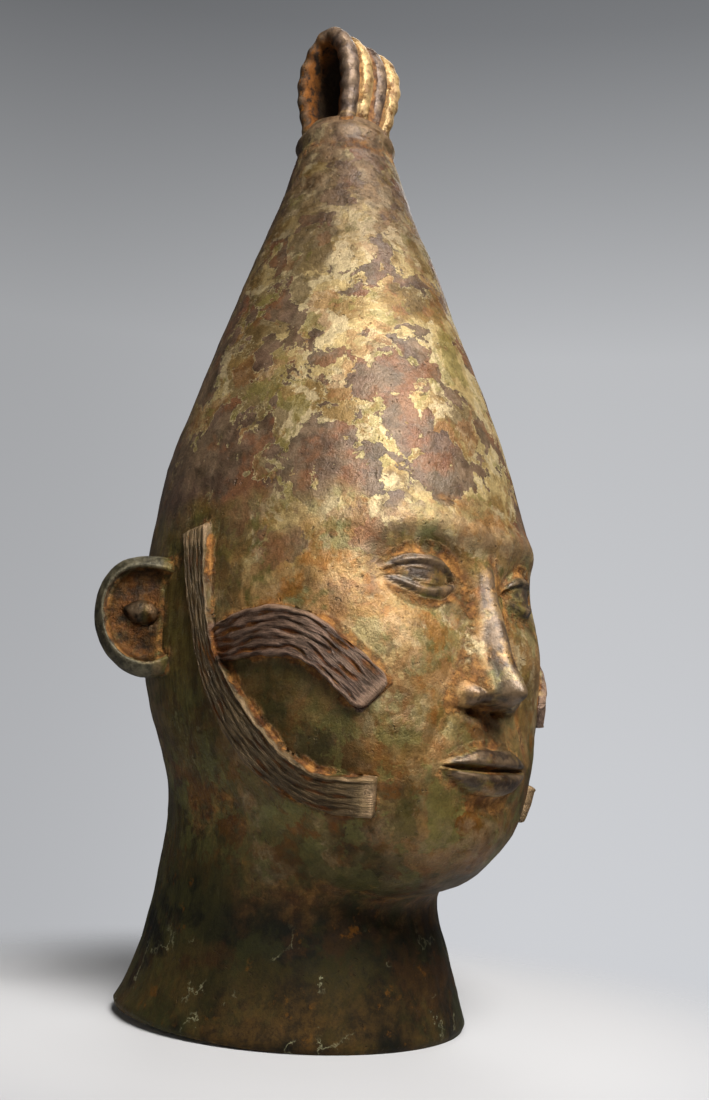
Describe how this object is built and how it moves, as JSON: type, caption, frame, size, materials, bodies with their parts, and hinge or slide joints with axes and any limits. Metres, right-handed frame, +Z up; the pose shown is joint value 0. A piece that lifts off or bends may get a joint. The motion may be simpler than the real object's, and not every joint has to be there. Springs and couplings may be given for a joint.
{
  "type": "bronze head sculpture",
  "caption": "Life-size cast bronze head with a tall pointed coiffure ending in a corded loop, raised scar bands on the cheeks, and a flared neck it stands on.",
  "frame": {"origin": "centre of the flat underside of the neck", "axes": "+Z up to the loop, -Y the way the face looks, -X towards the figure's right ear"},
  "size_m": [0.2118, 0.2164, 0.495],
  "materials": {
    "patinated_bronze": "satin, mottled golden brown, dark brown and green patina"
  },
  "bodies": {
    "root": {"bronze_head": "patinated_bronze"}
  },
  "joints": []
}
